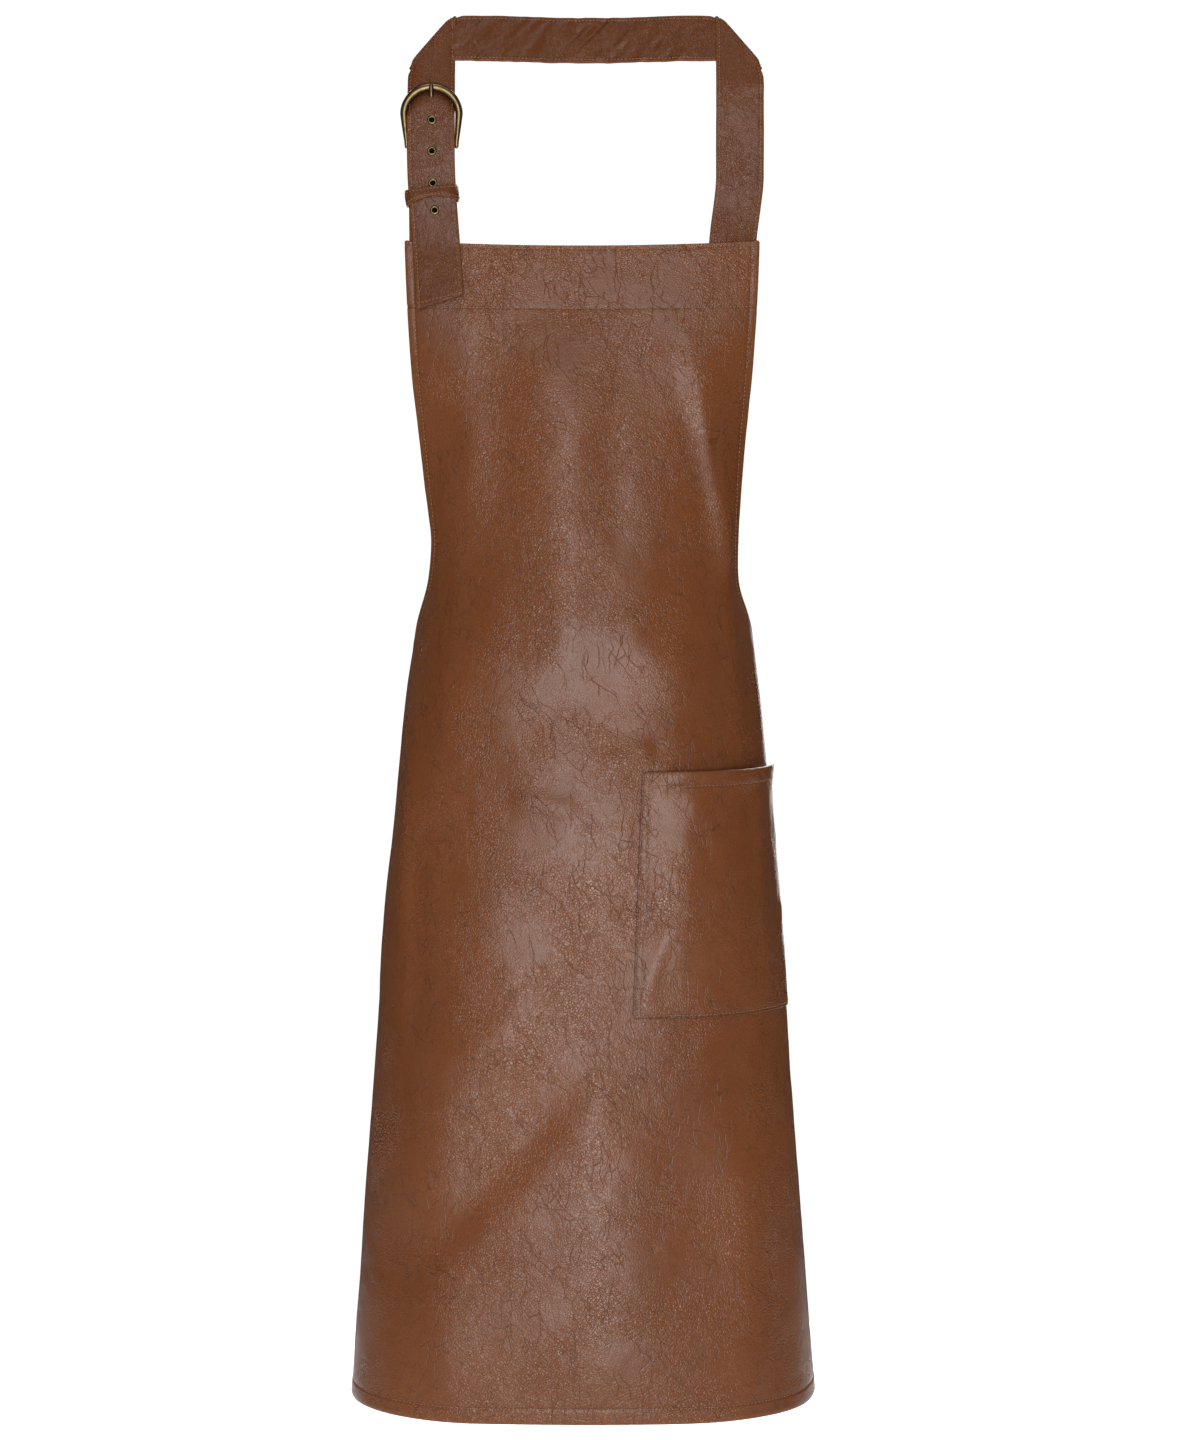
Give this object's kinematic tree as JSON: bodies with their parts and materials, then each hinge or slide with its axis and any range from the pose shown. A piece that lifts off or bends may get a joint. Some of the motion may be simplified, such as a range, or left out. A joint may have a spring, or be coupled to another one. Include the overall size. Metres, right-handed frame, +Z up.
{
  "type": "work apron",
  "caption": "Leather-look bib apron with a buckled neck strap, sliding strap keeper, wrapped skirt, hip pocket and waist ties.",
  "frame": {"origin": "middle of the inner face of the neck strap's back run, where the apron hangs on the wearer's nape", "axes": "+Z up, front of the apron faces -Y, +X towards the wearer's left"},
  "size_m": [0.4222, 0.2565, 1.2433],
  "materials": {
    "panel_leather": "tan brown, embossed grain, semi-gloss",
    "strap_leather": "tan brown, embossed grain, semi-gloss",
    "antique_brass": "antiqued, worn bright on the edges"
  },
  "bodies": {
    "apron": {"main_panel": "panel_leather", "bib_top_facing": "panel_leather", "bottom_hem": "panel_leather", "skirt_side_hem_right": "panel_leather", "skirt_side_hem_left": "panel_leather", "bib_side_hem_right": "panel_leather", "bib_side_hem_left": "panel_leather", "armhole_hem_right": "panel_leather", "armhole_hem_left": "panel_leather", "hip_pocket": "panel_leather", "pocket_mouth_hem": "panel_leather", "neck_strap": "strap_leather", "eyelet_1": "antique_brass", "eyelet_2": "antique_brass", "eyelet_3": "antique_brass", "eyelet_4": "antique_brass", "buckle_strap": "strap_leather", "waist_tie_right": "strap_leather", "waist_tie_left": "strap_leather", "tie_tail_right": "strap_leather", "tie_tail_left": "strap_leather", "tie_knot": "strap_leather"},
    "keeper": {"strap_keeper": "strap_leather"},
    "buckle": {"buckle_frame": "antique_brass", "buckle_bar": "antique_brass"},
    "prong": {"buckle_prong": "antique_brass"}
  },
  "joints": [
    {"name": "keeper_slide", "type": "slide", "parent": "apron", "child": "keeper", "axis": [-0.0449, -0.0598, 0.9972], "range_m": [-0.017, 0.018]},
    {"name": "buckle_swing", "type": "hinge", "parent": "apron", "child": "buckle", "pos_m": [-0.136, -0.02484, -0.0975], "axis": [1, 0, 0], "range_deg": [0, 40], "deforming": ["neck_strap", "eyelet_1"]},
    {"name": "prong_swing", "type": "hinge", "parent": "buckle", "child": "prong", "pos_m": [-0.136, -0.02484, -0.0975], "axis": [1, 0, 0], "range_deg": [0, 25], "deforming": ["neck_strap", "eyelet_1"]}
  ]
}
